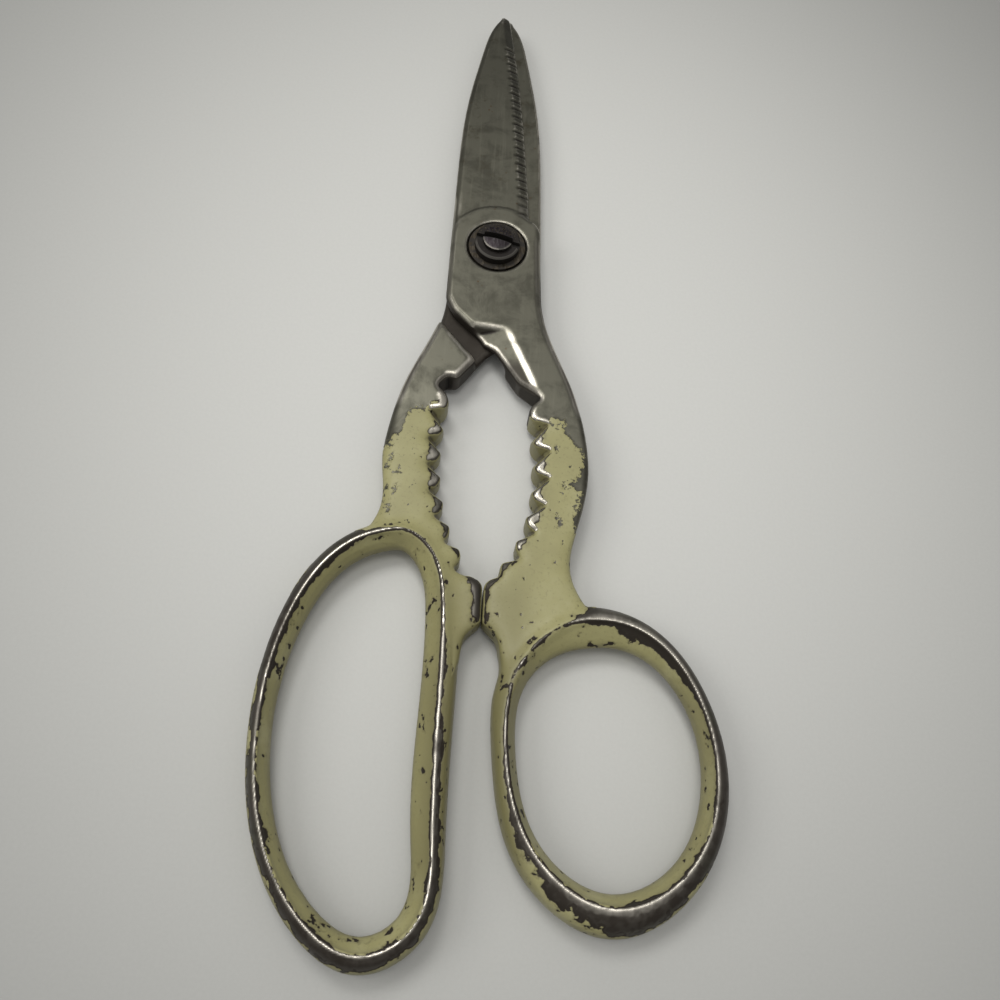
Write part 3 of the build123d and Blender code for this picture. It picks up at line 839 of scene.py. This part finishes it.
def dirt_and_shade(p, boss):
    """Where the steel is darkened, 0 to 1: dirt, and painted shade under the pivot and on the
    facet.
    """
    facing, mixed = p.band["turn"], p.broad + p.ragged * 0.5
    # Darker steel on the bows' inner sides and bare flanks, and mottled dirt on the bows.
    inner_side = step(facing, 98, 108) * p.on_bow
    flank = step(facing, 86, 70) * (1 - step(facing, 52, 34) * 0.45) * p.on_bow
    flank *= p.band["dark"] * (0.75 + 0.25 * step(p.ragged, -0.4, 0.4))
    bows = np.maximum(inner_side * 0.95, flank) + step(mixed, 0.45, 0.8) * p.on_bow * 0.35
    # Painted shade with dirt on the steep walls of the crevice under the pivot.
    crevice = step(p.upright, 0.75, 0.4) * step(p.y, *BELOW_PIVOT)
    crevice *= step(np.abs(p.x), *CREVICE_REACH) * step(p.y, *CREVICE_FOOT)
    # Painted shade with dirt on the lap floor under the pivot, where the halves overlap.
    lap = step(p.z, *LAP_HEIGHT) * step(p.y, *BELOW_PIVOT) * step(p.y, *LAP_FOOT)
    pads = step(p.y, *STOP_PADS) * (1 - p.on_bow)
    pads *= step(p.broad + p.ragged * 0.6, -0.45, 0.15)
    # Darker along the steep sides of the teeth.
    outline = step(p.upright, 0.80, 0.66) * p.jaw.toothed
    outline *= step(p.behind, *OUTLINE_BACK) * step(p.y, *TEETH_FOOT)
    # Painted shade: the sloping facet beside the lap is darker, as if it faced away from the
    # light.
    facet_shade = step(p.y, *FACET_HEAD) * step(p.z, *FACET_HEIGHT) * (1 - p.jaw.toothed)
    facet_shade *= step(p.upright, 0.97, 0.94) * step(p.upright, 0.6, 0.7) * boss
    dirty = [bows, crevice * 0.95, lap * 0.95, pads * 0.8, outline * 0.9, facet_shade * 0.75]
    return np.clip(np.maximum.reduce(dirty), 0, 1)


def wear(piece, worn_places, enamel, seed):
    """Softens the forging, then works out where it is bare, polished, dirty or hollow."""
    surface = Surface(piece.data)
    jaw = Jaw(surface, worn_places)
    boss, ridges = soften_forging(surface, worn_places, jaw)
    places = Places(surface, worn_places, jaw, seed)
    edges = lower_edges(places)
    teeth = bare_teeth(places, edges)
    bare = bare_steel(places, worn_places, teeth, seed)
    old = np.maximum(places.on_bow, jaw.toothed * step(places.behind, *AGED_BACK))
    aged = 0.22 + 0.78 * old + step(places.broad, 0.2, 0.6) * 0.25
    surface.keep("bare", bare)
    surface.keep("worn", polish(places, teeth, edges, boss, ridges))
    surface.keep("hollow", places.hollow())
    surface.keep("dirt_and_shade", dirt_and_shade(places, boss))
    # Painted shade for the enamel's steep sides.
    surface.keep("steep_side_shade", step(places.upright, 0.75, 0.2) * 0.9)
    surface.keep("aged", np.clip(aged, 0, 1))
    depth = step(bare, -0.12, 0.08) * step(places.y, *ENAMEL_HEAD) * enamel.thickness / MM
    surface.points -= surface.normals * depth[:, None]
    surface.write()


def dress_half(node, name, body, worn_places, seed):
    """Makes the worked piece that stands for a packed half and rides its body."""
    scene = bpy.context.scene
    piece = worked_copy(node, name, scene.shears_forging.grain)
    wear(piece, worn_places, scene.shears_enamel, seed)
    finish = handle_finish(name + "_finish", scene.shears_enamel, scene.shears_steel, seed)
    piece.data.materials.clear()
    piece.data.materials.append(finish)
    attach(piece, body)
    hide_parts(node)


class SHEARS_OT_finger_half(bpy.types.Operator):
    """Works the finger half's forging, enamel and wear"""

    bl_idname = "shears.finger_half"
    bl_label = "Finger half"

    def execute(self, context):
        dress_half(
            "finger_half", "finger_blade_and_bow", "finger_side",
            FINGER_WEAR, 1.0,
        )
        return {"FINISHED"}


class SHEARS_OT_thumb_half(bpy.types.Operator):
    """Works the thumb half's forging, enamel and wear"""

    bl_idname = "shears.thumb_half"
    bl_label = "Thumb half"

    def execute(self, context):
        dress_half(
            "thumb_half", "thumb_blade_and_bow", "thumb_side",
            THUMB_WEAR, 2.0,
        )
        return {"FINISHED"}


def screw_tone(place, tone, dirt_and_shade, dark):
    """The screw's colour: dirt and painted shade below its crown, painted highlights on its near
    rims, ochre dirt, a slot painted black as shade.
    """
    across, along, up = place.parts()
    reach = (across * across + along * along) ** 0.5
    from_slot = (across * SLOT_ACROSS[0] + along * SLOT_ACROSS[1]).size()
    slot = from_slot.over(SLOT_SIDE) * up.over(SLOT_FLOOR)
    crown = up.over(CROWN_FOOT)
    low_edge, high_edge = CROWN_EDGE
    edge = up.over(low_edge) * up.over(high_edge)
    flange = reach.over(FLANGE_REACH) * up.over(FLANGE_TOP) * (1.0 - crown)
    # Painted highlight on the near side of the crown's edge and the flange's rim.
    rim = (edge + flange).least(1.0) * along.over(RIM_LIT)
    ochre = place.specks(OCHRE_SPECKS).ramp(0.45, 0.15) * along.over(OCHRE_SIDE)
    # Below the crown the screw takes its dark colour: dirt and painted shade.
    tone = (rim * 0.8).between(crown.between(dark, tone), SCREW_RIM_HIGHLIGHT)
    tone = (ochre * 0.7).between(tone, SCREW_OCHRE)
    # Painted shade: the slot near black.
    tone = slot.between(tone, SCREW_SLOT_SHADE)
    # The darkening carries dirt, with painted shade below the crown and in the slot.
    return tone, (dirt_and_shade * 0.7 + (1.0 - crown) * 0.6 + slot).least(1.0)


def pivot_finish(node, base, worn, dark, dirty):
    """Turned steel, brushed along Y, with dirt in patches, and painted shade in the screw's slot
    and below its crown.
    """
    material, shader, start, place = new_finish(node + "_finish")
    brushed = place.stretched(1.0, 0.12, 1.0).cloud(PIVOT_BRUSHING, 4.0, 0.65)
    spread = dirty * 0.2
    dirt_and_shade = place.cloud(PIVOT_DIRT, 4.0, 0.6).ramp(0.62 - spread, 0.72 - spread)
    tone = brushed.ramp(0.38, 0.66).between(base, worn)
    if node == "pivot_screw":
        tone, dirt_and_shade = screw_tone(place, tone, dirt_and_shade, dark)
    feed(shader, "Base Color", (dirt_and_shade * 0.75).between(tone, dark))
    feed(shader, "Metallic", 1.0 - dirt_and_shade * 0.7)
    feed(shader, "Roughness", 0.40 + brushed * 0.15 + dirt_and_shade * 0.25)
    inputs = {"Strength": 0.35, "Distance": 0.04 * MM, "Height": brushed + dirt_and_shade}
    feed(shader, "Normal", start.node("ShaderNodeBump", None, inputs))
    return material


class SHEARS_OT_pivot(bpy.types.Operator):
    """Finishes the screw, its washer and its nut"""

    bl_idname = "shears.pivot"
    bl_label = "Pivot"

    def execute(self, context):
        for node, look in PIVOT_LOOKS.items():
            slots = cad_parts[node].data.materials
            finish = pivot_finish(node, *look)
            if len(slots) == 0:
                slots.append(finish)
            for number in range(len(slots)):
                slots[number] = finish
        return {"FINISHED"}


def lamp(name, place, size, power):
    """A square soft lamp that faces the middle of the shears."""
    data = bpy.data.lights.new(name, "AREA")
    data.shape = "SQUARE"
    data.size = size
    data.energy = power
    data.color = DAYLIGHT
    light = bpy.data.objects.new(name, data)
    bpy.context.scene.collection.objects.link(light)
    light.location = place
    way = Vector(LAMP_TARGET) - Vector(place)
    light.rotation_euler = way.to_track_quat("-Z", "Y").to_euler()


def table_finish(look):
    """Pale matt paint with a painted pool of light: a little darker away from the middle of the
    table.
    """
    material, shader, _, place = new_finish("table_paint")
    across, along = place.parts()[:2]
    middle = (across * across + along * along) ** 0.5
    base = colour(look.floor_colour)
    # Painted light: the table darkens away from its middle, and again further out from a point in
    # front of the shears.
    tone = middle.over(TABLE_LIGHT_POOL).between(base, toned(base, 0.58))
    from_x = across - TABLE_POOL_CENTRE[0] * MM
    from_y = along - TABLE_POOL_CENTRE[1] * MM
    beyond = (from_x * from_x + from_y * from_y * 0.55) ** 0.5
    tone = tone.darker(beyond.over(TABLE_POOL_EDGE, 1.0, 0.60))
    mottle = place.cloud(TABLE_MOTTLE, 4.0, 0.7)
    tone = mottle.ramp(0.3, 0.7).between(tone, tone.darker(0.97))
    feed(shader, "Base Color", tone)
    shader.inputs["Roughness"].default_value = 0.6
    shader.inputs["Specular IOR Level"].default_value = 0.25
    return material


def aim_camera():
    """The camera, above the bows and looking down the shears as in the photograph."""
    lens = bpy.data.cameras.new("view_from_above")
    lens.lens = CAMERA_LENS
    lens.sensor_width = CAMERA_SENSOR
    lens.clip_start = 0.005
    lens.clip_end = 10
    camera = bpy.data.objects.new("view_from_above", lens)
    bpy.context.scene.collection.objects.link(camera)
    right, up = Vector(CAMERA_RIGHT), Vector(CAMERA_TOP)
    turn = Matrix((right, up, right.cross(up))).transposed().to_4x4()
    camera.matrix_world = Matrix.Translation(Vector(CAMERA_PLACE) * MM) @ turn
    bpy.context.scene.camera = camera


def lay_table(look):
    """The table top, just under the shears."""
    floor_mesh = bpy.data.meshes.new("table_top")
    shell = bmesh.new()
    bmesh.ops.create_grid(shell, x_segments=8, y_segments=8, size=TABLE_HALF)
    shell.to_mesh(floor_mesh)
    shell.free()
    floor = bpy.data.objects.new("table_top", floor_mesh)
    bpy.context.scene.collection.objects.link(floor)
    floor.location.z = TABLE_TOP * MM
    floor_mesh.materials.append(table_finish(look))


def light_room(look):
    """The light that comes from the room itself, brighter above than from the sides.

    The camera sees an even backdrop in its place.
    """
    world = bpy.data.worlds.new("room")
    bpy.context.scene.world = world
    world.use_nodes = True
    tree = world.node_tree
    start = Wire(tree)
    aim = start.node("ShaderNodeTexCoord", out=0)
    glow = aim.parts()[2].ramp(0.0, 1.0, look.wall_strength, look.ceiling_strength)
    seen = start.node("ShaderNodeLightPath")
    strength = seen.between_numbers(glow, look.backdrop)
    background = tree.nodes["Background"]
    background.inputs["Color"].default_value = (*ROOM_TINT, 1)
    feed(background, "Strength", strength)


class SHEARS_OT_stage(bpy.types.Operator):
    """Sets the table top, the soft light and the camera"""

    bl_idname = "shears.stage"
    bl_label = "Stage"

    def execute(self, context):
        look = context.scene.shears_stage
        aim_camera()
        lay_table(look)
        for name, (place, size, share) in LAMPS.items():
            lamp(name, place, size, look.lamp_power * share)
        light_room(look)
        context.scene.view_settings.view_transform = "Standard"
        return {"FINISHED"}


class SHEARS_PT_panel(bpy.types.Panel):
    """Lists what builds the shears"""

    bl_label = "Kitchen Shears"
    bl_idname = "SHEARS_PT_panel"
    bl_space_type = "VIEW_3D"
    bl_region_type = "UI"
    bl_category = "Shears"

    def draw(self, context):
        layout = self.layout
        for operator in OPERATORS:
            layout.operator(operator.bl_idname)
        for name in SETTINGS:
            box = layout.box()
            group = getattr(context.scene, name)
            for key in group.bl_rna.properties.keys():
                if key not in ("rna_type", "name"):
                    box.prop(group, key)


SETTINGS = {
    "shears_enamel": EnamelSettings,
    "shears_steel": SteelSettings,
    "shears_forging": ForgingSettings,
    "shears_stage": StageSettings,
}
OPERATORS = (SHEARS_OT_stage, SHEARS_OT_finger_half, SHEARS_OT_thumb_half, SHEARS_OT_pivot)


def register():
    for group in SETTINGS.values():
        bpy.utils.register_class(group)
    for operator in OPERATORS:
        bpy.utils.register_class(operator)
    bpy.utils.register_class(SHEARS_PT_panel)
    for name, group in SETTINGS.items():
        setattr(bpy.types.Scene, name, PointerProperty(type=group))


def unregister():
    for name in SETTINGS:
        delattr(bpy.types.Scene, name)
    bpy.utils.unregister_class(SHEARS_PT_panel)
    for operator in reversed(OPERATORS):
        bpy.utils.unregister_class(operator)
    for group in reversed(SETTINGS.values()):
        bpy.utils.unregister_class(group)


def main():
    register()
    bpy.ops.shears.stage()
    bpy.ops.shears.finger_half()
    bpy.ops.shears.thumb_half()
    bpy.ops.shears.pivot()


if __name__ == "__main__":
    main()
